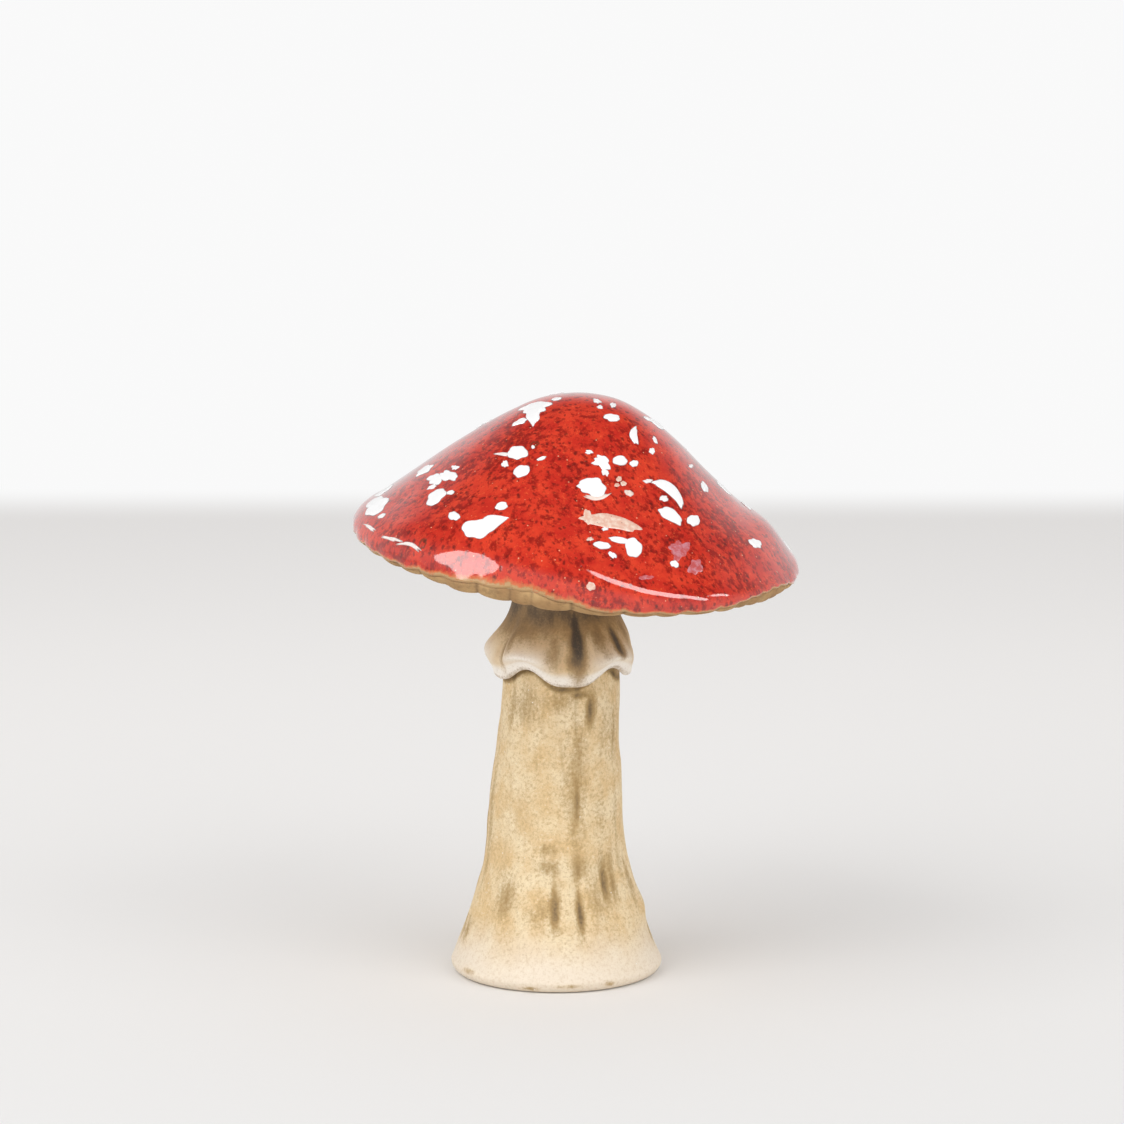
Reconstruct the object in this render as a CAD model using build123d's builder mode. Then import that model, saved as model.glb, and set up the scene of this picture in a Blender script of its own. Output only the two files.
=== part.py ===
"""A ceramic toadstool ornament: a red glazed cap, cemented a little askew on a hollow cast stem.

Millimetres, +Z up, origin at the centre of the foot's resting face. The front, which the larger
white flakes face, is -Y. Clay pieces are formed and fired apart, then luted or cemented together.
"""

import os
from math import asin, atan2, cos, degrees, hypot, pi, radians, sin, sqrt, tan

from build123d import *

# Stem: outer radii at their heights, from the foot up to the shoulder under the skirt
foot_radius = 26.2
foot_edge_radius = 2.4
ankle_height = 13.3
ankle_radius = 19.4
shank_height = 30.6
shank_radius = 15.9
waist_height = 55.0
waist_radius = 13.5
shoulder_height = 74.0
shoulder_radius = 13.1
stem_wall = 4.5
foot_floor = 6.0

# Neck and spigot: the neck carries the skirt, the spigot goes into the cap's collar
neck_radius = 9.5
neck_shift = 1.6
seat_height = 98.1
spigot_radius = 7.0
spigot_length = 9.0
spigot_bore_radius = 4.0

# Skirt: a frilled clay ring round the neck, seated on the shoulder, whose hem hangs below it
skirt_top_gap = 3.5
skirt_top_radius = 11.5
skirt_mid_share = 0.42
skirt_mid_radius = 13.2
skirt_flare_radius = 15.4
hem_drop = 6.5
hem_radius = 15.7
hem_flute_depth = 0.9
hem_wall = 1.6
hem_lobes = 6
hem_lobe_turn = -78.0
hem_arch_radius = 3.6
slip_gap = 0.4

# Cap: a dome with a round crown, a straight flank and a rolled rim
cap_radius = 49.4
cap_rise = 32.8
crown_radius = 25.6
rim_radius = 2.5
cap_wall = 5.0
shell_edge_drop = 0.8
cap_pitch = 4.4
cap_roll = 6.0

# Gill plate: closes the dome from below and carries the gills
plate_inset = 0.6
plate_thickness = 2.4
plate_rise = 4.2
plate_land_radius = 15.5
gill_count = 36
gill_root_width = 1.8
gill_root_depth = 0.9
gill_rim_width = 7.4
gill_rim_depth = 1.5
gill_sink = 0.25
gill_overrun = 2.0

# Socket: the collar inside the cap, off the dome's centre, and the cement round the spigot
bore_offset = 3.0
bore_clearance = 1.5
collar_wall = 4.0
collar_height = 8.0
cement_bed = 1.8

# Glaze: the red coat on the dome and the white flakes melted on to it
glaze_thickness = 0.5
glaze_edge_drop = 0.3
flake_thickness = 0.35
flake_points = 9

# Flakes on the front, as seen by someone 9 degrees above the cap: the place across and above the
# centre of the rim, in hundredths of the cap's radius, then the flake's length, width and turn
view_elevation = 9.0
front_flakes = [
    (-18, 56, 5.8, 3.6, -20),
    (-26, 53, 2.6, 1.0, 25),
    (-27, 40, 4.2, 2.4, 5),
    (-37, 39, 2.4, 0.8, 0),
    (-24, 32, 3.4, 2.4, 20),
    (-68, 32, 3.4, 1.5, 35),
    (-60, 29, 6.0, 2.2, 10),
    (-63, 20, 3.8, 2.3, 35),
    (-86, 19, 6.6, 3.4, 55),
    (-55, 11, 2.1, 1.7, 20),
    (-34, 16, 2.0, 1.5, 20),
    (-41, 8, 9.0, 4.2, 15),
    (16, 56, 3.0, 1.5, -5),
    (25, 48, 3.2, 1.6, 95),
    (35, 51, 4.2, 1.3, -38),
    (10, 34, 3.6, 2.8, -50),
    (20, 36, 2.7, 1.8, 0),
    (29, 34, 1.6, 1.1, 0),
    (7, 24, 5.6, 4.4, -10),
    (22, 23, 2.0, 1.6, 40),
    (43, 23, 6.6, 2.4, -35),
    (35, 17, 2.0, 1.0, -20),
    (42, 12, 4.8, 2.4, -30),
    (52, 10, 2.4, 2.2, 0),
    (15, 9, 11.4, 3.4, -6),
    (24, -2, 5.8, 3.2, -35),
    (12, -2, 3.0, 1.3, -10),
    (57, 24, 2.4, 1.3, -60),
    (66, 23, 3.2, 1.2, -45),
    (80, -1, 2.4, 1.7, -25),
    (89, -2, 3.0, 1.4, -50),
    (44, -10, 1.4, 1.1, -30),
    (7, -20, 1.8, 1.7, 0),
]

# Flakes on the crown, sides and back, spread evenly by the golden angle
back_flake_count = 30
back_flake_reach = 0.9
back_flake_margin = 0.1
back_flake_length = 2.2
back_flake_spread = 3.6
back_flake_slimness = 0.6
golden_angle = 137.508


# Shared places, worked out from the sizes above
neck_centre = (neck_shift, 0)
hem_height = shoulder_height - hem_drop
skirt_top_height = seat_height - skirt_top_gap
skirt_mid_height = shoulder_height + skirt_mid_share * (skirt_top_height - shoulder_height)
socket_point = (neck_shift, 0, seat_height + cement_bed)
socket_plane = Plane(socket_point).rotated((cap_pitch, cap_roll, 0))
plate_height = plate_rise - shell_edge_drop - plate_thickness
rim_centre = socket_plane.from_local_coords((bore_offset, 0, -plate_height))
cap_plane = Plane(rim_centre, x_dir=socket_plane.x_dir, z_dir=socket_plane.z_dir)
cap_axis = Axis(cap_plane.origin, cap_plane.z_dir)
cap_section_plane = Plane(cap_plane.origin, x_dir=cap_plane.x_dir, z_dir=-cap_plane.y_dir)
view_direction = (0, -cos(radians(view_elevation)), sin(radians(view_elevation)))
view_plane = Plane(rim_centre, x_dir=(1, 0, 0), z_dir=view_direction)
plate_radius = cap_radius - plate_inset
bore_radius = spigot_radius + bore_clearance
bore_centre = (-bore_offset, 0)

# The flank is the straight line that touches both the crown's circle and the rim's
crown_centre = cap_rise - crown_radius
rim_bead_centre = cap_radius - rim_radius
flank_reach = hypot(rim_bead_centre, crown_centre)
flank_angle = degrees(asin((crown_radius - rim_radius) / flank_reach) + atan2(crown_centre, rim_bead_centre))
flank_out = sin(radians(flank_angle))
flank_up = cos(radians(flank_angle))


def lean(height):
    """How far the stem's centre has moved to +X at a height: upright at the foot, leaning above."""
    return neck_shift * (height / shoulder_height) ** 2


def stem_ring(height, radius):
    """One round section of the stem, moved by the stem's lean at that height."""
    with BuildSketch(Plane.XY.offset(height)) as ring:
        with Locations((lean(height), 0)):
            Circle(radius)
    return ring.sketch


def skirt_ring(height, radius, flute):
    """One closed section of the skirt, wavy by the depth of its flutes."""
    points = []
    for step in range(4 * hem_lobes):
        angle = radians(90 * step / hem_lobes)
        reach = radius + flute * cos(hem_lobes * (angle - radians(hem_lobe_turn)))
        points.append((neck_shift + reach * cos(angle), reach * sin(angle)))
    with BuildSketch(Plane.XY.offset(height)) as ring:
        with BuildLine():
            Spline(points, periodic=True)
        make_face()
    return ring.sketch


def dome_section(skin, drop):
    """Half section of the dome, grown outwards by skin, down to a level below the rim's middle."""
    crown_flank = (flank_out * (crown_radius + skin), crown_centre + flank_up * (crown_radius + skin))
    bead_radius = rim_radius + skin
    bead_flank = (rim_bead_centre + flank_out * bead_radius, flank_up * bead_radius)
    bead_end = (rim_bead_centre + sqrt(bead_radius**2 - drop**2), -drop)
    with BuildSketch(cap_section_plane) as section:
        with BuildLine():
            top = (0, cap_rise + skin)
            RadiusArc(top, crown_flank, crown_radius + skin)
            Line(crown_flank, bead_flank)
            RadiusArc(bead_flank, bead_end, bead_radius)
            Polyline(bead_end, (0, -drop), top)
        make_face()
    return section.sketch


def hollow_radius(drop):
    """Radius of the space inside the dome's wall at a level below the rim's middle."""
    inner_radius = crown_radius - cap_wall
    flank_fall = crown_centre + flank_up * inner_radius + drop
    return flank_out * inner_radius + flank_fall * flank_up / flank_out


def hollow_section(drop):
    """Half section of the space inside the dome's wall, down to a level below the rim's middle."""
    inner_radius = crown_radius - cap_wall
    flank_start = (flank_out * inner_radius, crown_centre + flank_up * inner_radius)
    flank_end = (hollow_radius(drop), -drop)
    with BuildSketch(cap_section_plane) as section:
        with BuildLine():
            top = (0, cap_rise - cap_wall)
            RadiusArc(top, flank_start, inner_radius)
            Line(flank_start, flank_end)
            Polyline(flank_end, (0, -drop), top)
        make_face()
    return section.sketch


def dome_slope(reach):
    """Slope of the glaze's outer face, in radians, at a distance from the cap's axis."""
    return min(asin(min(reach / (crown_radius + glaze_thickness), 1)), radians(flank_angle))


def dome_height(reach):
    """Height of the glaze's outer face over the rim's middle, at a distance from the cap's axis."""
    slope = dome_slope(reach)
    crown_reach = (crown_radius + glaze_thickness) * sin(slope)
    return crown_centre + (crown_radius + glaze_thickness) * cos(slope) - (reach - crown_reach) * tan(slope)


def seen_place(across, above):
    """Place on the dome, in the cap's own frame, that the viewer sees across and above the rim's centre."""
    near = 2 * cap_radius
    far = 0
    for halving in range(30):
        middle = (near + far) / 2
        place = cap_plane.to_local_coords(view_plane.from_local_coords(Vector(across, above, middle)))
        if place.Z > dome_height(hypot(place.X, place.Y)):
            near = middle
        else:
            far = middle
    return place


def dome_plane(place):
    """Plane that lies on the glaze at a place in the cap's own frame, with its x towards +X."""
    reach = hypot(place.X, place.Y)
    out = sin(dome_slope(reach)) / reach
    normal = cap_plane.x_dir * place.X * out + cap_plane.y_dir * place.Y * out
    normal += cap_plane.z_dir * cos(dome_slope(reach))
    point = cap_plane.from_local_coords(Vector(place.X, place.Y, dome_height(reach)))
    return Plane(point, x_dir=(1, 0, 0), z_dir=normal)


def flake_edge(length, width, turn, seed):
    """Corners of one chipped flake: an ellipse whose edge goes in and out unevenly."""
    points = []
    for corner in range(flake_points):
        angle = 2 * pi * corner / flake_points
        edge = 0.5 + 0.09 * sin(2 * angle + seed) + 0.07 * sin(3 * angle + 2.3 * seed)
        points.append(Vector(length * edge * cos(angle), width * edge * sin(angle)).rotate(Axis.Z, turn))
    return points


# Stem: hollow cast column with a flared, flat-bottomed foot, a shoulder, a neck and a spigot
with BuildPart() as stem:
    loft(
        [
            stem_ring(0, foot_radius),
            stem_ring(ankle_height, ankle_radius),
            stem_ring(shank_height, shank_radius),
            stem_ring(waist_height, waist_radius),
            stem_ring(shoulder_height, shoulder_radius),
        ]
    )
    fillet(stem.edges().group_by(Axis.Z)[0], foot_edge_radius)
    with BuildSketch(Plane.XY.offset(shoulder_height)):
        with Locations(neck_centre):
            Circle(neck_radius)
    extrude(amount=seat_height - shoulder_height)
    with BuildSketch(Plane.XY.offset(seat_height)):
        with Locations(neck_centre):
            Circle(spigot_radius)
    extrude(amount=spigot_length)
    loft(
        [
            stem_ring(foot_floor, ankle_radius - stem_wall),
            stem_ring(ankle_height, ankle_radius - stem_wall),
            stem_ring(shank_height, shank_radius - stem_wall),
            stem_ring(waist_height, waist_radius - stem_wall),
            stem_ring(shoulder_height - stem_wall, spigot_bore_radius),
        ],
        mode=Mode.SUBTRACT,
    )
    with BuildSketch(Plane.XY.offset(waist_height)):
        with Locations(neck_centre):
            Circle(spigot_bore_radius)
    extrude(amount=seat_height + spigot_length - waist_height, mode=Mode.SUBTRACT)
stem.part.label = "stem"


# Skirt: a bell-shaped ring, fluted towards its hem, with an arch cut between each pair of lobes
with BuildPart() as skirt:
    loft(
        [
            skirt_ring(hem_height, hem_radius, hem_flute_depth),
            skirt_ring(shoulder_height, skirt_flare_radius, hem_flute_depth),
            skirt_ring(skirt_mid_height, skirt_mid_radius, hem_flute_depth / 3),
            skirt_ring(skirt_top_height, skirt_top_radius, 0),
        ]
    )
    with BuildSketch(Plane.XY.offset(shoulder_height)):
        with Locations(neck_centre):
            Circle(neck_radius + slip_gap)
    extrude(amount=skirt_top_height - shoulder_height, mode=Mode.SUBTRACT)
    with BuildSketch(Plane.XY.offset(shoulder_height)):
        with Locations(neck_centre):
            Circle(skirt_flare_radius - hem_wall)
    with BuildSketch(Plane.XY.offset(hem_height)):
        with Locations(neck_centre):
            Circle(hem_radius - hem_wall + hem_flute_depth / 2)
    loft(mode=Mode.SUBTRACT)
    for lobe in range(hem_lobes):
        arch_turn = radians(hem_lobe_turn + 360 * (lobe + 0.5) / hem_lobes)
        with BuildSketch(Plane((neck_shift, 0, hem_height), z_dir=(cos(arch_turn), sin(arch_turn), 0))):
            Circle(hem_arch_radius)
        extrude(amount=2 * hem_radius, mode=Mode.SUBTRACT)
skirt.part.label = "skirt"

# Skirt slip: the clay slip that lutes the skirt's bore to the neck
with BuildPart() as skirt_slip:
    with BuildSketch(Plane.XY.offset(shoulder_height)):
        with Locations(neck_centre):
            Circle(neck_radius + slip_gap)
            Circle(neck_radius, mode=Mode.SUBTRACT)
    extrude(amount=skirt_top_height - shoulder_height)
skirt_slip.part.label = "skirt_slip"

# Cap: the domed clay shell, open below, cut flat just under the middle of its rolled rim
with BuildPart() as cap:
    revolve(dome_section(0, shell_edge_drop), axis=cap_axis)
    revolve(hollow_section(shell_edge_drop), axis=cap_axis, mode=Mode.SUBTRACT)
cap.part.label = "cap"

# One gill: a ridge that widens from near the stem out past the rim, sunk in the plate's underside
plate_slope = plate_rise / (plate_radius - plate_land_radius)
gill_end_radius = plate_radius + gill_overrun / 2
gill_root_height = plate_height + gill_sink
gill_end_height = gill_root_height - plate_slope * (gill_end_radius - plate_land_radius)
with BuildPart() as gill:
    with BuildSketch(Plane((plate_land_radius, 0, gill_root_height), x_dir=(0, 1, 0), z_dir=(1, 0, 0))):
        Ellipse(gill_root_width / 2, gill_root_depth)
    with BuildSketch(Plane((gill_end_radius, 0, gill_end_height), x_dir=(0, 1, 0), z_dir=(1, 0, 0))):
        Ellipse(gill_rim_width / 2, gill_rim_depth)
    loft()

# Gill plate: a shallow dished disc, luted under the shell's edge, with its ring of gills, cut round
with BuildPart(cap_plane) as gill_plate:
    with BuildSketch(cap_section_plane):
        with BuildLine():
            Polyline(
                (0, plate_height),
                (plate_land_radius, plate_height),
                (plate_radius + gill_overrun, plate_height - plate_rise - plate_slope * gill_overrun),
                (plate_radius + gill_overrun, -shell_edge_drop),
                (hollow_radius(shell_edge_drop) - plate_inset, -shell_edge_drop),
                (plate_land_radius, plate_height + plate_thickness),
                (0, plate_height + plate_thickness),
                close=True,
            )
        make_face()
    revolve(axis=cap_axis)
    with PolarLocations(0, gill_count):
        add(gill.part)
    with BuildSketch(cap_plane.offset(-cap_rise)):
        Circle(plate_radius)
    extrude(amount=2 * cap_rise, mode=Mode.INTERSECT)
    with BuildSketch(cap_plane.offset(plate_height)):
        with Locations(bore_centre):
            Circle(bore_radius)
    extrude(amount=plate_thickness, mode=Mode.SUBTRACT)
gill_plate.part.label = "gill_plate"

# Cap collar: the clay ring on the plate that the spigot goes up into
with BuildPart() as cap_collar:
    with BuildSketch(cap_plane.offset(plate_height + plate_thickness)):
        with Locations(bore_centre):
            Circle(bore_radius + collar_wall)
            Circle(bore_radius, mode=Mode.SUBTRACT)
    extrude(amount=collar_height)
cap_collar.part.label = "cap_collar"

# Cap cement: the wedge-shaped bed on the neck and the sleeve that fills the bore round the spigot
with BuildPart() as cap_cement:
    with BuildSketch(Plane.XY.offset(seat_height)):
        with Locations(neck_centre):
            Circle(neck_radius)
    extrude(amount=2 * cement_bed + spigot_length)
    split(bisect_by=cap_plane.offset(plate_height), keep=Keep.BOTTOM)
    with BuildSketch(cap_plane.offset(plate_height)):
        with Locations(bore_centre):
            Circle(bore_radius)
    extrude(amount=plate_thickness + collar_height)
    add(stem.part, mode=Mode.SUBTRACT)
cap_cement.part.label = "cap_cement"

# Red glaze: the glass coat on the dome, which stops just short of the shell's bare edge
with BuildPart() as red_glaze:
    revolve(dome_section(glaze_thickness, glaze_edge_drop), axis=cap_axis)
    revolve(dome_section(0, glaze_edge_drop), axis=cap_axis, mode=Mode.SUBTRACT)
red_glaze.part.label = "red_glaze"

# White flakes: thin chips that follow the glaze, cut from its outer skin
flake_places = []
for across, above, length, width, turn in front_flakes:
    place = seen_place(cap_radius * across / 100, cap_radius * above / 100)
    flake_places.append((place, length, width, turn))
for step in range(back_flake_count):
    bearing = radians(golden_angle * step)
    reach = cap_radius * back_flake_reach * sqrt((step + 0.5) / back_flake_count)
    length = back_flake_length + back_flake_spread * (0.5 + 0.5 * sin(3 * step))
    if reach * sin(bearing) > cap_radius * back_flake_margin:
        place = Vector(reach * cos(bearing), reach * sin(bearing))
        flake_places.append((place, length, length * back_flake_slimness, degrees(bearing) + 90))

with BuildPart() as flake_skin:
    revolve(dome_section(glaze_thickness + flake_thickness, 0), axis=cap_axis)
with BuildPart() as flake_core:
    revolve(dome_section(glaze_thickness, shell_edge_drop), axis=cap_axis)

flakes = []
for seed, (place, length, width, turn) in enumerate(flake_places):
    with BuildPart() as flake:
        with BuildSketch(dome_plane(place)):
            with BuildLine():
                Polyline(flake_edge(length, width, turn, seed), close=True)
            make_face()
        extrude(amount=flake_thickness + length / 4, both=True)
        add(flake_skin.part, mode=Mode.INTERSECT)
        add(flake_core.part, mode=Mode.SUBTRACT)
    flakes.append(flake.part)

with BuildPart() as white_flakes:
    add(flakes)
white_flakes.part.label = "white_flakes"

os.makedirs("parts", exist_ok=True)
for piece in (stem, skirt, skirt_slip, cap, gill_plate, cap_collar, cap_cement, red_glaze, white_flakes):
    export_step(piece.part, f"parts/{piece.part.label}.step")
    print(piece.part.label, len(piece.part.solids()), "solids", round(piece.part.volume), "mm3")
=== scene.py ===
"""Looks of the ceramic toadstool: meshes, finishes, stage, lights and camera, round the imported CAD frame."""

from bisect import bisect_right
from math import acos, asin, atan2, cos, degrees, exp, hypot, pi, radians, sin, sqrt

import bmesh
import bpy
from mathutils import Matrix, Quaternion, Vector, noise


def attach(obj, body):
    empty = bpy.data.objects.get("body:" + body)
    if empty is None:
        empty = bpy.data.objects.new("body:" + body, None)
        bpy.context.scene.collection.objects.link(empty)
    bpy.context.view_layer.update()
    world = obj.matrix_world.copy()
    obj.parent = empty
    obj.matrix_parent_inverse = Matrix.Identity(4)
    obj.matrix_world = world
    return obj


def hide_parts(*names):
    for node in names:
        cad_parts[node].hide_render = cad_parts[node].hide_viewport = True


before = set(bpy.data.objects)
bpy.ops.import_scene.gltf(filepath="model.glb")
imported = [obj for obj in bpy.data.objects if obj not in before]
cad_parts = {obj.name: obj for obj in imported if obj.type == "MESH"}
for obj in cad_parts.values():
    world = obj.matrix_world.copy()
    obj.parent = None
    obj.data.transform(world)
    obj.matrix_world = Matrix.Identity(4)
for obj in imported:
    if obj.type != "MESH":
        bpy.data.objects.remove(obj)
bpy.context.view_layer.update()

MM = 0.001

# Sizes shared with the CAD model, in millimetres
NECK_SHIFT = 1.6
SHOULDER_HEIGHT = 74.0
SEAT_HEIGHT = 98.1
NECK_RADIUS = 9.5
SPIGOT_RADIUS = 7.0
SPIGOT_TOP = 107.1
SPIGOT_BORE = 4.0
FOOT_EDGE = 2.4
CEMENT_BED = 1.8
BORE_OFFSET = 3.0
BORE_RADIUS = 8.5
PLATE_HEIGHT = 1.0
PLATE_THICKNESS = 2.4
PLATE_LAND = 15.5
CAP_PITCH = radians(4.4)
CAP_ROLL = radians(6.0)
CAP_RADIUS = 49.4
CAP_RISE = 32.8
CROWN_RADIUS = 25.6
CAP_WALL = 5.0
SHELL_EDGE = 0.8
GLAZE = 0.5
SKIRT_TOP = 94.6
HEM_HEIGHT = 67.5
SLIP_GAP = 0.4

# The camera of the photograph: its frame in pixels, its focal length, place and tilt
FRAME_PIXELS = 1124
FOCAL_PIXELS = 4052
CAMERA_PLACE = Vector((1.2, -900.0, 237.0))
CAMERA_DIP = radians(9.04)
SENSOR = 36.0
PIXEL = 0.225

# The cap's own frame: tilted towards the front and to the right, its centre at the rim's middle
cap_turn = Matrix.Rotation(CAP_PITCH, 4, "X") @ Matrix.Rotation(CAP_ROLL, 4, "Y")
bore_centre = Vector((NECK_SHIFT, 0, SEAT_HEIGHT + CEMENT_BED))
rim_centre = bore_centre + cap_turn @ Vector((BORE_OFFSET, 0, -PLATE_HEIGHT))
cap_frame = Matrix.Translation(rim_centre) @ cap_turn
cap_inverse = cap_frame.inverted()


def smooth_step(low, high, value):
    """0 below low, 1 above high, with a soft change between."""
    share = min(max((value - low) / (high - low), 0), 1)
    return share * share * (3 - 2 * share)


def hump(value, middle, width):
    """A soft bell of height 1."""
    return exp(-(((value - middle) / width) ** 2))


def humps(value, bells):
    """Sum of soft bells, each given by its height, middle and width."""
    return sum(height * hump(value, middle, width) for height, middle, width in bells)


def turn_gap(first, second):
    """Difference of two bearings, within half a turn."""
    return (first - second + pi) % (2 * pi) - pi


def lump(place, pitch, seed=0.0):
    """Smooth noise from -1 to 1 with lumps about pitch millimetres apart."""
    return noise.noise(place / pitch + Vector((seed, 2 * seed, -seed)))


def around(bearing, reach, height=0.0):
    """Point at a bearing and a distance from the Z axis."""
    return Vector((reach * cos(bearing), reach * sin(bearing), height))


def polar(place):
    """Bearing of a place round the Z axis, and its distance from it."""
    return atan2(place.y, place.x), hypot(place.x, place.y)


# Cap shape, in the cap's own frame

CROWN_SHARE = 0.3
FLANK_SHARE = 0.92
CROWN_CENTRE = CAP_RISE - CROWN_RADIUS
GLAZE_EDGE = 0.3

# The rolled rim: its plain radius, and how much fuller it is in front, about which turn and how widely
RIM_BEAD = 4.2
FRONT_ROLL = 11.0
FRONT_ROLL_TURN = -22
FRONT_ROLL_WIDTH = 33

# The extra fullness of the dome's right side, on both sides of its waist: height, reach and width
RIGHT_SWELL = [(0.8, 21, 6), (0.5, 32, 7), (2.2, 43, 5)]

# Grooves between the pinched lobes of the rim, in degrees right of the front, as the photograph shows them
FRONT_GROOVES = [-61, -52, -44, -35.5, -26, -17, -11.5, -1, 12.5, 21, 28.5, 39.5, 46.5, 51, 56, 61.5, 66, 72]

# Lobes on the rest of the rim, which the photograph hides
BACK_LOBES = 26
back_pitch = (360 + FRONT_GROOVES[0] - FRONT_GROOVES[-1]) / BACK_LOBES
GROOVES = FRONT_GROOVES + [FRONT_GROOVES[-1] + back_pitch * (lobe + 1) for lobe in range(BACK_LOBES)]


def front_turn(bearing):
    """Degrees to the right of the front for a bearing from +X, within half a turn."""
    return (degrees(bearing) + 270) % 360 - 180


def bead_radius(bearing):
    """Radius of the rolled rim: full in front and on the left, sharper on the right."""
    sides = 1.0 * hump(turn_gap(bearing, 0.15), 0, 0.5) - 2.0 * cos(bearing - 0.25)
    return RIM_BEAD + sides + FRONT_ROLL * hump(front_turn(bearing), FRONT_ROLL_TURN, FRONT_ROLL_WIDTH)


def plain_drop(bearing):
    """Depth of the rim's lower contour, without its lobes, below the cap's own centre: most in front."""
    return 2.45 + 2.0 * max(-sin(bearing), 0) ** 1.5 + 0.4 * cos(bearing)


def rim_level(bearing):
    """Height of the rim's widest circle, which hangs lowest in front."""
    return -0.6 * plain_drop(bearing)


def rim_form(bearing):
    """Radius and level of the rim's bead, and slope of the flank that touches it and the crown's circle."""
    bead = bead_radius(bearing)
    level = rim_level(bearing)
    span = CAP_RADIUS - bead
    rise = CROWN_CENTRE - level
    return bead, level, asin((CROWN_RADIUS - bead) / hypot(span, rise)) + atan2(rise, span)


def gill_lobe(bearing):
    """1 on the middle of a lobe of the rim, less on a narrow one, 0 in the groove between two."""
    turn = (front_turn(bearing) - GROOVES[0]) % 360 + GROOVES[0]
    index = min(bisect_right(GROOVES, turn), len(GROOVES) - 1)
    width = GROOVES[index] - GROOVES[index - 1]
    share = min(max((turn - GROOVES[index - 1]) / width, 0), 1)
    return min(0.45 + width / 18, 1) * (4 * share * (1 - share)) ** 0.6


def swell(bearing, reach):
    """How far the hand-shaped dome stands above the turned one: fuller on the left, waisted on the right."""
    fullness = (0.5 - 0.93 * cos(bearing)) * hump(reach, 26, 14) - 0.55 * hump(reach, 47, 5)
    fullness += hump(turn_gap(bearing, 0.1), 0, 0.75) * humps(reach, RIGHT_SWELL)
    place = around(bearing, reach)
    return fullness + 0.4 * lump(place, 19, 4.1) + 0.14 * lump(place, 7, 1.7)


def side_bulge(bearing):
    """How far the rim stands out on its fuller left side, and less on its right."""
    return 0.7 * hump(turn_gap(bearing, pi), 0, 0.7) + 0.5 * hump(turn_gap(bearing, 0.1), 0, 0.6)


def dome_point(bearing, along, skin, edge_drop):
    """Point of the dome at a share along its profile from the crown to the edge, skin over the clay."""
    bead, level, flank = rim_form(bearing)
    bead_centre = Vector((CAP_RADIUS - bead, level))
    crown_end = Vector((sin(flank), cos(flank))) * (CROWN_RADIUS + skin) + Vector((0, CROWN_CENTRE))
    bead_start = Vector((sin(flank), cos(flank))) * (bead + skin) + bead_centre
    if along < CROWN_SHARE:
        angle = flank * along / CROWN_SHARE
        reach = (CROWN_RADIUS + skin) * sin(angle)
        height = CROWN_CENTRE + (CROWN_RADIUS + skin) * cos(angle)
    elif along < FLANK_SHARE:
        reach, height = crown_end.lerp(bead_start, (along - CROWN_SHARE) / (FLANK_SHARE - CROWN_SHARE))
    else:
        angle_end = acos(-(edge_drop + level) / (bead + skin))
        angle = flank + (angle_end - flank) * (along - FLANK_SHARE) / (1 - FLANK_SHARE)
        reach = bead_centre.x + (bead + skin) * sin(angle)
        height = level + (bead + skin) * cos(angle)
    above_rim = height - level
    height += swell(bearing, reach) * smooth_step(0, 2.5, above_rim)
    reach += side_bulge(bearing) * smooth_step(12, 2, above_rim)
    reach += 0.25 * (gill_lobe(bearing) - 0.5) * smooth_step(4, 0, above_rim)
    return around(bearing, reach, height)


def dome_share(bearing, reach):
    """Share along the glaze's profile at a distance from the cap's axis, up to the rim's widest place."""
    bead, level, flank = rim_form(bearing)
    bead_centre = CAP_RADIUS - bead
    crown_reach = (CROWN_RADIUS + GLAZE) * sin(flank)
    bead_reach = bead_centre + (bead + GLAZE) * sin(flank)
    if reach < crown_reach:
        return CROWN_SHARE * asin(reach / (CROWN_RADIUS + GLAZE)) / flank
    if reach < bead_reach:
        return CROWN_SHARE + (FLANK_SHARE - CROWN_SHARE) * (reach - crown_reach) / (bead_reach - crown_reach)
    angle = asin(min((reach - bead_centre) / (bead + GLAZE), 1))
    angle_end = acos(-(GLAZE_EDGE + level) / (bead + GLAZE))
    return FLANK_SHARE + (1 - FLANK_SHARE) * (angle - flank) / (angle_end - flank)


def glaze_place(place):
    """Point of the glaze's face straight above or below a place in the cap's frame, kept on the dome."""
    bearing, reach = polar(place)
    return dome_point(bearing, dome_share(bearing, reach), GLAZE, GLAZE_EDGE)


# Places seen in the photograph, found along the camera's rays

camera_turn = Matrix.Rotation(pi / 2 - CAMERA_DIP, 4, "X")
RAY_HALVINGS = 26

# Distances from the camera between which its rays meet the cap and the stem
CAP_SPAN = (840, 920)
STEM_SPAN = (860, 940)


def seen_ray(across, down):
    """Direction from the camera through a pixel of the photograph."""
    middle = FRAME_PIXELS / 2
    ray = Vector((across - middle, middle - down, -FOCAL_PIXELS))
    return (camera_turn @ ray).normalized()


def seen_on(is_inside, across, down, near, far):
    """Point where the ray through a pixel first goes into a shape, between two distances from the camera."""
    ray = seen_ray(across, down)
    for halving in range(RAY_HALVINGS):
        middle = (near + far) / 2
        if is_inside(CAMERA_PLACE + ray * middle):
            far = middle
        else:
            near = middle
    return CAMERA_PLACE + ray * far


def inside_cap(point):
    """Whether a point is under the glaze's face."""
    place = cap_inverse @ point
    return hypot(place.x, place.y) < CAP_RADIUS + GLAZE and place.z < glaze_place(place).z


# Mesh helpers

MERGE_GAP = 1e-5


def spin_chain(shape, chain, steps):
    """Joins a chain of points and turns it about Z into a skin."""
    links = [shape.edges.new(pair) for pair in zip(chain, chain[1:])]
    whole = {"cent": (0, 0, 0), "axis": (0, 0, 1), "angle": 2 * pi, "use_merge": True}
    bmesh.ops.spin(shape, geom=chain + links, steps=steps, **whole)


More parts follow.
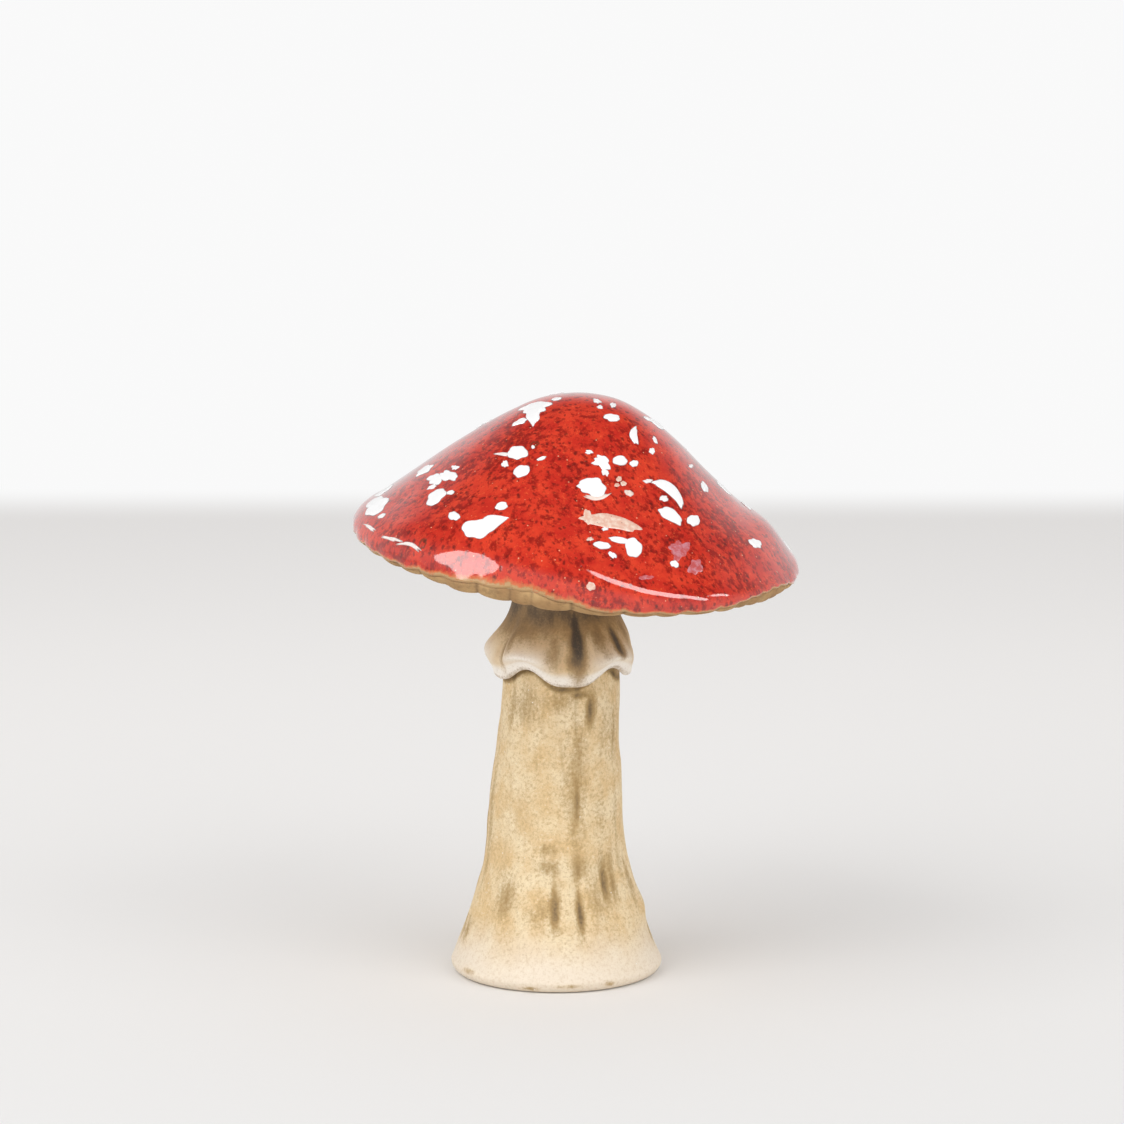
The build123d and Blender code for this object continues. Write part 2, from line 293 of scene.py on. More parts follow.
def spun(profile, steps):
    """A shape of revolution about Z from (radius, height, along) points, with along kept on its vertices."""
    shape = bmesh.new()
    along = shape.verts.layers.float.new("along")
    chain = []
    for radius, height, share in profile:
        point = shape.verts.new((radius, 0, height))
        point[along] = share
        chain.append(point)
    spin_chain(shape, chain, steps)
    bmesh.ops.remove_doubles(shape, verts=shape.verts, dist=MERGE_GAP)
    return shape, along


def as_object(shape, name, finish):
    """Links a shape in metres to the scene as an object with one finish."""
    mesh = bpy.data.meshes.new(name)
    shape.to_mesh(mesh)
    shape.free()
    mesh.materials.append(finish)
    piece = bpy.data.objects.new(name, mesh)
    bpy.context.scene.collection.objects.link(piece)
    return piece


def finished(shape, name, finish, node, place=Matrix.Identity(4)):
    """Makes a shape in millimetres, in a frame of its own, a piece in metres that stands for a CAD node.

    Points that the shaping brought together are merged, and the faces are pointed outwards.
    """
    bmesh.ops.remove_doubles(shape, verts=shape.verts, dist=MERGE_GAP)
    bmesh.ops.recalc_face_normals(shape, faces=shape.faces)
    bmesh.ops.transform(shape, matrix=place, verts=shape.verts)
    bmesh.ops.scale(shape, vec=(MM, MM, MM), verts=shape.verts)
    for face in shape.faces:
        face.smooth = True
    piece = as_object(shape, name, finish)
    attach(piece, "root")
    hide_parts(node)


# Shader helpers


class Wire:
    """A shader socket whose arithmetic adds Math nodes to its material."""

    def __init__(self, tree, socket):
        self.tree = tree
        self.socket = socket

    def math(self, operation, first, second):
        node = self.tree.nodes.new("ShaderNodeMath")
        node.operation = operation
        plug(self.tree, node.inputs[0], first)
        plug(self.tree, node.inputs[1], second)
        return Wire(self.tree, node.outputs[0])

    def __add__(self, other):
        return self.math("ADD", self, other)

    def __radd__(self, other):
        return self.math("ADD", other, self)

    def __sub__(self, other):
        return self.math("SUBTRACT", self, other)

    def __rsub__(self, other):
        return self.math("SUBTRACT", other, self)

    def __mul__(self, other):
        return self.math("MULTIPLY", self, other)

    def __rmul__(self, other):
        return self.math("MULTIPLY", other, self)


def plug(tree, socket, value):
    """Links a wire to a socket, or sets a plain value on it."""
    if isinstance(value, Wire):
        tree.links.new(value.socket, socket)
    elif isinstance(value, tuple) and len(value) == 3 and socket.type == "RGBA":
        socket.default_value = (*value, 1)
    else:
        socket.default_value = value


class Graph:
    """A node tree that is filled by short calls."""

    def __init__(self, tree):
        self.tree = tree

    def add(self, kind, settings=None, values=None, output=0):
        """Adds a node of a kind, sets it, fills its sockets and gives one output as a wire."""
        node = self.tree.nodes.new("ShaderNode" + kind)
        for key, value in (settings or {}).items():
            setattr(node, key, value)
        for key, value in (values or {}).items():
            plug(self.tree, node.inputs[key], value)
        return Wire(self.tree, node.outputs[output])

    def ramp(self, value, low, high):
        """0 below low, 1 above high, soft between."""
        settings = {"interpolation_type": "SMOOTHSTEP"}
        return self.add("MapRange", settings, {"Value": value, "From Min": low, "From Max": high})


class Finish(Graph):
    """A material on object coordinates in millimetres, with the colour that has been laid so far."""

    def __init__(self, name):
        self.material = bpy.data.materials.new(name)
        self.material.use_nodes = True
        super().__init__(self.material.node_tree)
        self.shader = self.tree.nodes["Principled BSDF"]
        values = {"Vector": self.add("TexCoord", output="Object"), "Scale": 1 / MM}
        self.place = self.add("VectorMath", {"operation": "SCALE"}, values)
        self.colour = (1, 1, 1)

    def stretched(self, x, y, z):
        """The place in millimetres, scaled along each axis."""
        return self.add("VectorMath", {"operation": "MULTIPLY"}, {0: self.place, 1: (x, y, z)})

    def noise(self, scale, detail=3.0, roughness=0.55, place=None, distortion=0.0):
        """Soft noise, with scale in lumps for each millimetre."""
        values = {"Vector": place or self.place, "Scale": scale, "Detail": detail}
        values.update({"Roughness": roughness, "Distortion": distortion})
        return self.add("TexNoise", {}, values, "Fac")

    def cells(self, scale, output="Distance", place=None):
        """Cell pattern: distance to each cell's centre, or the cell's own random colour."""
        return self.add("TexVoronoi", {}, {"Vector": place or self.place, "Scale": scale}, output)

    def cell_chance(self, scale, channel, place):
        """A random number for each cell of that pattern, from one channel of its colour."""
        return self.add("SeparateColor", {}, {"Color": self.cells(scale, "Color", place)}, channel)

    def mix(self, share, first, second):
        """Colour between two colours, on the Mix node's own colour sockets."""
        return self.add("Mix", {"data_type": "RGBA"}, {"Factor": share, 6: first, 7: second}, 2)

    def lay(self, share, colour):
        """Lays a colour over what is there, by a share."""
        self.colour = self.mix(share, self.colour, colour)

    def mask(self, name):
        """A value painted on the piece's vertices."""
        return self.add("Attribute", {"attribute_name": name}, {}, "Fac")

    def bump(self, height, depth, strength=1.0):
        """Normal from a height of 0 to 1 that is depth millimetres deep."""
        values = {"Height": height, "Distance": depth * MM, "Strength": strength}
        return self.add("Bump", {}, values, "Normal")

    def set(self, **values):
        """Fills the shader's sockets, named with underscores for spaces, and its base colour."""
        for key, value in {"Base_Color": self.colour, **values}.items():
            plug(self.tree, self.shader.inputs[key.replace("_", " ")], value)
        return self.material


# Finishes


def red_glaze_finish():
    """Glossy red glaze: bright red broken by dark smears and specks, tan and dull at its thin edge."""
    glaze = Finish("red_glaze_finish")
    flow = glaze.stretched(1, 1, 0.62)
    warp = glaze.add("TexNoise", {}, {"Vector": flow, "Scale": 1.1, "Detail": 2.0}, "Color")
    warped = glaze.add("VectorMath", {"operation": "ADD"}, {0: flow, 1: warp})
    crowd = glaze.noise(0.075, 2)
    tone = glaze.ramp(glaze.noise(0.22, 3), 0.3, 0.7)
    glaze.colour = glaze.mix(tone, (0.55, 0.024, 0.013), (0.72, 0.052, 0.021))
    smear = glaze.ramp(glaze.noise(0.7, 4, 0.62, flow) + (crowd - 0.5) * 0.5, 0.47, 0.64)
    glaze.lay(smear * 0.85, (0.26, 0.009, 0.006))
    warm = glaze.ramp(glaze.noise(1.5, 2, 0.5), 0.6, 0.74)
    glaze.lay(warm * 0.5, (0.86, 0.13, 0.04))
    chance = glaze.cell_chance(0.8, "Red", warped)
    speck = glaze.ramp(glaze.cells(0.8, place=warped), 0.44, 0.16) * glaze.ramp(chance, 0.44, 0.58)
    glaze.lay(speck * 0.72, (0.11, 0.01, 0.007))
    fine = glaze.ramp(glaze.cells(2.1, place=warped), 0.3, 0.16) * glaze.ramp(glaze.noise(0.6, 2), 0.5, 0.6)
    glaze.lay(fine * 0.6, (0.09, 0.012, 0.007))
    crater = glaze.cells(0.15, place=warped)
    chosen = glaze.cell_chance(0.15, "Green", warped)
    ring = glaze.ramp(crater, 0.1, 0.14) * glaze.ramp(crater, 0.2, 0.16) * glaze.ramp(chosen, 0.72, 0.74)
    glaze.lay(ring * 0.7, (0.09, 0.03, 0.012))
    ember = glaze.ramp(glaze.cells(0.6), 0.12, 0.07) * glaze.ramp(glaze.noise(0.4, 1), 0.5, 0.58)
    glaze.lay(ember * 0.75, (0.86, 0.5, 0.3))
    seam = glaze.mask("seam") * glaze.ramp(glaze.noise(0.9, 2), 0.3, 0.5)
    glaze.lay(seam * 0.85, (0.1, 0.03, 0.012))
    thin = glaze.mask("thin") + (glaze.noise(0.7, 4, 0.65) - 0.5) * 1.1
    glaze.lay(glaze.ramp(thin, 0.3, 0.75) * 0.7, (0.68, 0.22, 0.07))
    glaze.lay(glaze.ramp(thin, 0.7, 0.95), (0.5, 0.3, 0.13))
    surface = glaze.noise(0.3, 2) + speck * -0.12 + ring * -0.4
    return glaze.set(
        Roughness=0.06 + glaze.ramp(thin, 0.8, 1.05) * 0.4,
        Coat_Weight=0.6 - glaze.ramp(thin, 0.8, 1.05) * 0.6,
        Coat_Roughness=0.03,
        IOR=1.48,
        Normal=glaze.bump(surface, 0.09, 0.6),
    )


def flake_finish():
    """White glaze chips: milky where thick, peach where thin, lilac where flat patches stand for painted
    reflections, with a painted shadow line along their sunk edge.
    """
    chip = Finish("white_flake_finish")
    grain = chip.noise(1.4, 3)
    milk = chip.mask("milk")
    white = chip.mix(grain, (0.93, 0.92, 0.92), (0.98, 0.98, 0.98))
    patches = chip.ramp(chip.noise(0.9, 3), 0.38, 0.66)
    peach = chip.mix(patches, (0.77, 0.46, 0.35), (0.85, 0.67, 0.56))
    # Lilac for the flat patches that are painted reflections of a window in the glaze.
    painted_lilac_reflection = chip.mix(patches, (0.55, 0.09, 0.09), (0.6, 0.24, 0.28))
    chip.colour = chip.mix(chip.ramp(milk, 0.02, 0.1), painted_lilac_reflection, peach)
    chip.lay(chip.ramp(milk, 0.3, 0.9), white)
    specks = chip.ramp(chip.cells(1.1), 0.2, 0.1) * chip.ramp(chip.noise(0.5, 1), 0.5, 0.6)
    chip.lay(specks * chip.ramp(milk, 0.4, 0.1) * 0.7, (0.12, 0.03, 0.02))
    # Painted shadow line along each chip's sunk edge.
    chip.lay(chip.mask("edge") * 0.9, (0.1, 0.012, 0.01))
    return chip.set(
        Roughness=0.16 + grain * 0.1,
        Coat_Weight=0.4,
        Coat_Roughness=0.05,
        Normal=chip.bump(grain, 0.05, 0.5),
    )


def stem_finish():
    """Matte cream stoneware with an oxide wash caught in its grain and creases, palest on the foot, with a
    painted shadow just under the skirt's hem.
    """
    clay = Finish("stem_clay_finish")
    grain = clay.noise(1.3, 5, 0.74)
    fine = clay.noise(3.2, 3, 0.6)
    cloud = clay.noise(0.16, 3)
    drawn = clay.noise(1.0, 4, 0.65, clay.stretched(0.4, 0.4, 0.06))
    clay.colour = clay.mix(clay.ramp(cloud, 0.3, 0.68), (0.74, 0.53, 0.275), (0.86, 0.71, 0.47))
    clay.lay(clay.ramp(drawn, 0.5, 0.72) * 0.4, (0.6, 0.41, 0.2))
    clay.lay(clay.mask("pale"), (0.86, 0.75, 0.61))
    rough = 1 - clay.mask("pale") * 0.6
    clay.lay(clay.ramp(grain, 0.48, 0.66) * rough * 0.7, (0.55, 0.38, 0.19))
    clay.lay(clay.ramp(grain, 0.45, 0.3) * 0.45, (0.93, 0.84, 0.68))
    clay.lay(clay.ramp(fine, 0.54, 0.68) * rough * 0.4, (0.47, 0.32, 0.15))
    # Darkened by the mask of oxide stains, which also holds the painted shadow under the skirt's hem.
    stain_and_shade = clay.mask("stain_and_shade") + (grain - 0.5) * 0.75 + (drawn - 0.5) * 0.9
    shown = clay.ramp(clay.mask("stain_and_shade"), 0.02, 0.2)
    clay.lay(clay.ramp(stain_and_shade, 0.0, 0.65) * shown * 0.9, (0.41, 0.265, 0.105))
    clay.lay(clay.ramp(stain_and_shade, 0.5, 1.1) * shown * 0.85, (0.14, 0.095, 0.055))
    pits = clay.ramp(clay.cells(1.3), 0.17, 0.08) * clay.ramp(clay.noise(0.35, 2), 0.47, 0.6)
    clay.lay(pits * rough * 0.4, (0.3, 0.2, 0.1))
    flecks = clay.ramp(clay.cells(0.3), 0.05, 0.025)
    clay.lay(flecks, (0.95, 0.93, 0.88))
    surface = grain * -0.7 + fine * 0.3 + clay.noise(0.6, 3) * 0.8 - pits
    return clay.set(
        Roughness=0.8 - clay.mask("pale") * 0.25,
        Specular_IOR_Level=0.3,
        Normal=clay.bump(surface, 0.16, 0.8),
    )


def skirt_finish():
    """The stem's stoneware, wiped clean on its raised folds and hem, with dark oxide left between them, and
    darker towards the top; its left lobe is paled with painted light and its hem's lower edge darkened with
    painted shade.
    """
    clay = Finish("skirt_clay_finish")
    grain = clay.noise(2.0, 4, 0.75)
    cloud = clay.noise(0.25, 3)
    drawn = clay.noise(1.0, 4, 0.65, clay.stretched(0.5, 0.5, 0.12))
    clay.colour = clay.mix(clay.ramp(cloud, 0.3, 0.7), (0.68, 0.47, 0.24), (0.8, 0.62, 0.38))
    # The pale mask: clay wiped clean, and painted light on the left lobe.
    clay.lay(clay.mask("pale"), (0.95, 0.88, 0.79))
    # Dark oxide stains, darkening towards the top, and painted shade along the hem's lower edge.
    stain_and_shade = clay.mask("stain_and_shade") + (grain - 0.5) * 0.6 + (drawn - 0.5) * 0.5 + (cloud - 0.5) * 0.4
    shown = clay.ramp(clay.mask("stain_and_shade"), 0.03, 0.25)
    clay.lay(clay.ramp(stain_and_shade, 0.05, 0.6) * shown * 0.85, (0.34, 0.21, 0.09))
    clay.lay(clay.ramp(stain_and_shade, 0.48, 1.1) * shown * 0.92, (0.06, 0.05, 0.043))
    clay.lay(clay.ramp(grain, 0.5, 0.7) * 0.3, (0.42, 0.28, 0.13))
    pits = clay.ramp(clay.cells(1.2), 0.12, 0.06) * clay.ramp(clay.noise(0.5, 2), 0.52, 0.64)
    clay.lay(pits * 0.5, (0.2, 0.12, 0.055))
    surface = grain * 0.5 + clay.noise(0.6, 3) * 0.6 - pits
    return clay.set(
        Roughness=0.72 - clay.mask("pale") * 0.2,
        Specular_IOR_Level=0.35,
        Normal=clay.bump(surface, 0.1, 0.7),
    )


def gill_finish():
    """Bare tan stoneware with brown oxide in the grooves between the gills."""
    clay = Finish("gill_clay_finish")
    grain = clay.noise(2.2, 3, 0.7)
    cloud = clay.noise(0.18, 3)
    clay.colour = clay.mix(clay.ramp(cloud, 0.3, 0.7), (0.38, 0.215, 0.09), (0.56, 0.355, 0.16))
    groove = clay.mask("groove") + (clay.noise(0.8, 3) - 0.5) * 0.6
    clay.lay(clay.ramp(groove, 0.35, 0.95) * 0.8, (0.17, 0.095, 0.045))
    clay.lay(clay.ramp(grain, 0.55, 0.8) * 0.3, (0.3, 0.19, 0.09))
    wash = clay.ramp(clay.noise(0.45, 4, 0.65), 0.52, 0.68)
    clay.lay(wash * 0.5, (0.24, 0.14, 0.06))
    return clay.set(
        Roughness=0.75,
        Specular_IOR_Level=0.35,
        Normal=clay.bump(grain * 0.6 + clay.noise(0.7, 3), 0.15, 0.8),
    )


def plain_clay_finish(name, dark, pale):
    """Unglazed fired clay for pieces that the rest of the ornament covers."""
    clay = Finish(name)
    grain = clay.noise(1.8, 4, 0.65)
    clay.colour = clay.mix(clay.ramp(grain, 0.3, 0.7), dark, pale)
    return clay.set(Roughness=0.85, Normal=clay.bump(grain, 0.1, 0.7))


# Red glaze and the clay shell below it

CAP_STEPS = 320
GLAZE_ROWS = 84
RIM_ROWS = 26
RIM_SHARE = 0.9
GLAZE_BACK_ROWS = 24
SHELL_ROWS = 48


def rim_drop(bearing):
    """Depth of the rim's lower contour: its lobes hang, and the grooves between them are pinched up."""
    place = around(bearing, CAP_RADIUS)
    return plain_drop(bearing) + 0.6 * (gill_lobe(bearing) - 0.6) + 0.35 * lump(place, 9, 6.2)


def bare_height(bearing):
    """Height of bare clay left below the glaze: most in front, left of the middle, and again at the right."""
    turn = front_turn(bearing)
    front_width = 24 if turn < -13 else 13
    return 0.9 + 2.5 * hump(turn, -13, front_width) + 1.8 * hump(turn, 60, 15)


def glaze_drop(bearing):
    """Depth of the glaze's wavy lower edge below the cap's own centre."""
    place = around(bearing, CAP_RADIUS)
    drop = rim_drop(bearing) - bare_height(bearing) + 0.35 * lump(place, 4, 2.3)
    return min(max(drop, 0.4), 0.75 * bead_radius(bearing) - rim_level(bearing))


def rim_reach(bearing, drop):
    """Distance of the rolled rim's clay from the cap's axis, at a depth below the cap's own centre."""
    bead = bead_radius(bearing)
    share = min(abs(drop + rim_level(bearing)) / bead, 0.9)
    return CAP_RADIUS + side_bulge(bearing) - bead * (1 - sqrt(1 - share * share))


def build_glaze(finish):
    """A glass coat with a wavy lower edge, thin there, lying on the shell."""
    face_rows = [(RIM_SHARE * row / GLAZE_ROWS, GLAZE) for row in range(GLAZE_ROWS)]
    face_rows += [(RIM_SHARE + (1 - RIM_SHARE) * row / RIM_ROWS, GLAZE) for row in range(RIM_ROWS + 1)]
    back_rows = [(1 - row / GLAZE_BACK_ROWS, 0) for row in range(GLAZE_BACK_ROWS + 1)]
    profile = []
    for along, skin in face_rows + back_rows:
        point = dome_point(0, along, skin, GLAZE_EDGE)
        profile.append((hypot(point.x, point.y), point.z, along + (0 if skin else 2)))
    profile[0] = (0, profile[0][1], 0)
    profile[-1] = (0, profile[-1][1], 2)
    shape, along = spun(profile, CAP_STEPS)
    thin = shape.verts.layers.float.new("thin")
    seam = shape.verts.layers.float.new("seam")
    for point in shape.verts:
        bearing = atan2(point.co.y, point.co.x)
        drop = glaze_drop(bearing)
        if point[along] > 1.5:
            point.co = dome_point(bearing, point[along] - 2, 0, drop)
            continue
        skin = GLAZE * (0.2 + 0.8 * smooth_step(1.0, 0.97, point[along]))
        point.co = dome_point(bearing, point[along], skin, drop)
        turn = front_turn(bearing)
        above_edge = point.co.z + drop
        point[thin] = smooth_step(0.9 + 2.4 * hump(turn, -18, 26), 0, above_edge)
        point[seam] = (1 - gill_lobe(bearing)) ** 3 * smooth_step(3.2, 0.6, above_edge) * hump(turn, 60, 16)
    finished(shape, "red_glaze_coat", finish, "red_glaze", cap_frame)


def build_shell(finish):
    """The domed clay shell, hollow, with its flat bare edge."""
    inner_scale = Vector((1 - CAP_WALL / CAP_RADIUS, 1 - CAP_WALL / CAP_RADIUS, 1 - CAP_WALL / CAP_RISE))
    profile = []
    for row in range(SHELL_ROWS + 1):
        point = dome_point(0, row / SHELL_ROWS, 0, SHELL_EDGE)
        profile.append((hypot(point.x, point.y), point.z, row / SHELL_ROWS))
    for radius, height, share in profile[::-1]:
        profile.append((radius * inner_scale.x, height * inner_scale.z, share + 2))
    profile[0] = (0, profile[0][1], 0)
    profile[-1] = (0, profile[-1][1], 2)
    shape, along = spun(profile, CAP_STEPS // 2)
    for point in shape.verts:
        bearing = atan2(point.co.y, point.co.x)
        if point[along] < 1.5:
            point.co = dome_point(bearing, point[along], 0, SHELL_EDGE)
        else:
            point.co = dome_point(bearing, point[along] - 2, 0, SHELL_EDGE) * inner_scale
    finished(shape, "cap_shell", finish, "cap", cap_frame)


# Gill plate

PLATE_EDGE_ROWS = 14
PLATE_UNDER_ROWS = 40
PLATE_TOP = -0.25
RIM_ROUND = 1.6
BORE_CHAMFER = 0.4


def build_gills(finish):
    """The dished plate under the cap, with rounded gills that end in lobes round the rim."""
    land_top = PLATE_HEIGHT + PLATE_THICKNESS
    profile = [(BORE_RADIUS, land_top, 0), (PLATE_LAND, land_top, 0), (CAP_RADIUS - CAP_WALL, -SHELL_EDGE, 0)]
    for row in range(PLATE_EDGE_ROWS + 1):
        angle = pi / 2 * row / PLATE_EDGE_ROWS
        reach = CAP_RADIUS - RIM_ROUND * (1 - cos(angle))
        profile.append((reach, PLATE_TOP - sin(angle), 0.001 + 0.999 * sin(angle)))
    for row in range(1, PLATE_UNDER_ROWS + 1):
        share = row / PLATE_UNDER_ROWS
        reach = CAP_RADIUS - RIM_ROUND + (PLATE_LAND - CAP_RADIUS + RIM_ROUND) * share
        profile.append((reach, PLATE_TOP - 1, 1 + share))
    profile.append((BORE_RADIUS + BORE_CHAMFER, PLATE_HEIGHT, 3))
    profile.append((BORE_RADIUS, PLATE_HEIGHT + BORE_CHAMFER, 3))
    profile.append(profile[0])
    shape, along = spun(profile, CAP_STEPS)
    groove = shape.verts.layers.float.new("groove")
    for point in shape.verts:
        bearing, reach = polar(point.co)
        lobe = gill_lobe(bearing)
        uneven = lump(around(bearing, reach), 9, 6.2)
        if 0 < point[along] <= 2:
            edge = min(point[along], 1)
            under = max(point[along] - 1, 0)
            depth = -PLATE_TOP + (rim_drop(bearing) + PLATE_TOP) * edge
            bare = smooth_step(-0.15, 0.3, depth - glaze_drop(bearing))
            rim = rim_reach(bearing, depth) - RIM_ROUND * (1 - sqrt(1 - edge * edge))
            rim += bare * (0.4 * lobe - 0.12 + 0.15 * uneven) - 0.3 * (1 - bare)
            reach = rim + (PLATE_LAND - rim) * under
            ridge = 0.9 * (lobe - 0.5) * sin(pi * under)
            point.co.z = -depth + (PLATE_HEIGHT + depth) * under - ridge
            point[groove] = (1 - lobe) ** 1.5
        shift = BORE_OFFSET * (1 - smooth_step(BORE_RADIUS, PLATE_LAND, reach))
        point.co.x = reach * cos(bearing) - shift
        point.co.y = reach * sin(bearing)
    finished(shape, "gill_ring", finish, "gill_plate", cap_frame)


# Stem

STEM_STEPS = 300
STEM_ROWS = 150
FOOT_ROWS = 10
STEM_RING = 16

# The hollow stem's inner face below the spigot, as radius and height
STEM_BORE = [(SPIGOT_BORE, 69.5), (9, 55), (11.4, 30.6), (14.9, 13.3), (14.9, 6), (0, 6)]

# Where the stem is fuller or slimmer than its plain flare: by how much, at which height, how widely
STEM_SWELL = [(0.45, 46, 15), (-0.3, 25, 6)]

# The unseen back repeats the front's marks, mirrored and turned by this much
BACK_TURN = 0.35

# Creases pressed into the clay near the foot: the pixels of their two ends, then width and depth
STEM_CREASES = [
    ((549, 889), (562, 924), 1.5, 0.5),
    ((578, 858), (585, 934), 1.3, 0.6),
    ((603, 850), (609, 918), 1.5, 0.5),
    ((617, 905), (620, 925), 1.3, 0.4),
    ((487, 905), (480, 935), 2.6, 0.4),
    ((566, 790), (572, 832), 1.8, 0.25),
]

# Oxide stains on the stem: the pixel of each middle, half its width and height in pixels, and its strength
STEM_STAINS = [
    (580, 695, 12, 5, 0.9),
    (590, 710, 6, 20, 0.95),
    (522, 708, 28, 22, 0.4),
    (560, 702, 34, 12, 0.35),
    (610, 730, 16, 34, 0.36),
    (575, 785, 13, 75, 0.46),
    (577, 802, 5, 32, 0.66),
    (597, 810, 12, 44, 0.26),
    (535, 760, 10, 50, 0.14),
    (492, 810, 8, 80, 0.42),
    (624, 810, 7, 70, 0.3),
    (547, 868, 12, 9, 0.55),
    (546, 850, 12, 6, 0.4),
    (580, 870, 10, 16, 0.62),
    (605, 882, 6, 30, 0.9),
    (613, 880, 6, 26, 0.6),
    (596, 890, 18, 34, 0.36),
    (581, 915, 5, 22, 1.0),
    (555, 912, 6, 20, 0.92),
    (548, 912, 16, 24, 0.3),
    (559, 931, 7, 5, 0.4),
    (534, 918, 8, 14, 0.4),
    (506, 896, 17, 24, 0.46),
    (468, 928, 7, 14, 0.46),
    (629, 884, 6, 26, 0.42),
    (650, 930, 8, 14, 0.42),
    (468, 971, 10, 3, 0.4),
    (530, 989, 8, 2, 0.6),
    (568, 987, 12, 2, 0.45),
    (610, 984, 6, 3, 0.4),
]


def lean(height):
    """How far the stem's centre has moved to the right at a height."""
    return NECK_SHIFT * min(height / SHOULDER_HEIGHT, 1) ** 2 - 0.65 * hump(height, 45, 26)


def stem_radius(height):
    """Radius of the plain stem at a height: a trumpet that flares to the foot."""
    plain = 12.8 + 12.1 * exp(-((max(height, FOOT_EDGE) / 22.4) ** 1.15))
    return plain + humps(height, STEM_SWELL)


def inside_stem(point):
    """Whether a point is inside the plain stem."""
    return hypot(point.x - lean(point.z), point.y) < stem_radius(point.z)


def stem_place(across, down):
    """Bearing and height of the stem's surface at a pixel of the photograph."""
    point = seen_on(inside_stem, across, down, *STEM_SPAN)
    return atan2(point.y, point.x - lean(point.z)), point.z


def streak_gap(bearing, height, start, end):
    """Distance across the surface from a line between two (bearing, height) places."""
    rise = start[1] - end[1]
    share = min(max((start[1] - height) / rise, 0), 1)
    middle = start[0] + turn_gap(end[0], start[0]) * share
    beyond = max(height - start[1], end[1] - height, 0)
    return hypot(turn_gap(bearing, middle) * stem_radius(height), beyond)


def build_stem(finish):
    """The hollow stem: flat foot, rounded foot edge, creased flare, shoulder, neck and spigot."""
    edge_radius = stem_radius(FOOT_EDGE)
    profile = [(0, 0, 0), (edge_radius / 2, 0, 0)]
    for row in range(FOOT_ROWS):
        angle = pi / 2 * row / FOOT_ROWS
        profile.append((edge_radius - FOOT_EDGE * (1 - sin(angle)), FOOT_EDGE * (1 - cos(angle)), 1))
    for row in range(STEM_ROWS + 1):
        height = FOOT_EDGE + (SHOULDER_HEIGHT - FOOT_EDGE) * row / STEM_ROWS
        profile.append((stem_radius(height), height, 1))
    neck = [(NECK_RADIUS, SHOULDER_HEIGHT), (NECK_RADIUS, SEAT_HEIGHT), (SPIGOT_RADIUS, SEAT_HEIGHT)]
    neck += [(SPIGOT_RADIUS, SPIGOT_TOP), (SPIGOT_BORE, SPIGOT_TOP)]
    profile += [(radius, height, 0) for radius, height in neck + STEM_BORE]
    shape, along = spun(profile, STEM_STEPS)
    creases = []
    for start_pixel, end_pixel, width, depth in STEM_CREASES:
        start = stem_place(*start_pixel)
        end = stem_place(*end_pixel)
        creases.append((start, end, width, depth))
        creases.append(((BACK_TURN - start[0], start[1]), (BACK_TURN - end[0], end[1]), width, depth))
    stains = []
    for across, down, half_width, half_height, strength in STEM_STAINS:
        bearing, height = stem_place(across, down)
        form = (height, half_width * PIXEL, half_height * PIXEL, strength)
        stains += [(bearing, *form), (BACK_TURN - bearing, *form)]
    stain_and_shade = shape.verts.layers.float.new("stain_and_shade")
    pale = shape.verts.layers.float.new("pale")
    for point in shape.verts:
        bearing, reach = polar(point.co)
        height = point.co.z
        if point[along] > 0.5:
            ring = around(bearing, STEM_RING, height)
            free = smooth_step(0, 6, height) * smooth_step(SHOULDER_HEIGHT, SHOULDER_HEIGHT - 9, height)
            push = free * (0.5 * lump(ring, 14, 0.7) + 0.18 * lump(ring, 5, 3.1))
            push += 0.25 * lump(ring, 17, 5.2) * smooth_step(0, 2, height) * (1 - free)
            push += 0.75 * hump(height, 15.5, 3.2) * hump(turn_gap(bearing, -0.12), 0, 0.28)
            for start, end, width, depth in creases:
                push -= depth * hump(streak_gap(bearing, height, start, end), 0, width)
            reach += push
            dark = 0.0
            for middle, level, half_width, half_height, strength in stains:
                gap = turn_gap(bearing, middle) * stem_radius(height)
                dark = max(dark, strength * hump(gap, 0, half_width) * hump(height, level, half_height))
            # Painted shadow: a dark band on the stem just under the skirt's hem, laid with the stains.
            under_hem = HEM_HEIGHT + hem_rise(front_turn(bearing)) - 0.5
            dark = max(dark, 0.85 * hump(height, under_hem, 0.9))
            point[stain_and_shade] = dark
            point[pale] = smooth_step(15, 3, height + 3 * lump(ring, 8, 8.8)) * (1 - dark)
        point.co.x = reach * cos(bearing) + lean(height)
        point.co.y = reach * sin(bearing)
    finished(shape, "stem_body", finish, "stem")


# Skirt

SKIRT_STEPS = 300
SKIRT_ROWS = 60
HEM_ROWS = 8
HEM_WALL = 1.7
HEM_LIFT = 3.7
SKIRT_RING = 13
SEAT_RADIUS = 13.9
SEAT_ROWS = (70, 72, SHOULDER_HEIGHT)

# Bearings of the arches between the hem's lobes, in degrees to the right of the front
HEM_ARCHES = [-174, -122, -32, 44, 134]

# Folds and creases of the skirt: degrees right of the front, half width, height, half height, push outwards
SKIRT_FOLDS = [
    (-45, 7, 76, 6, 0.7),
    (-58, 5, 75, 6, -0.9),
    (-95, 26, 74, 4, 1.1),
    (53, 5, 76, 5, -0.6),
    (95, 30, 74, 4, -0.9),
]

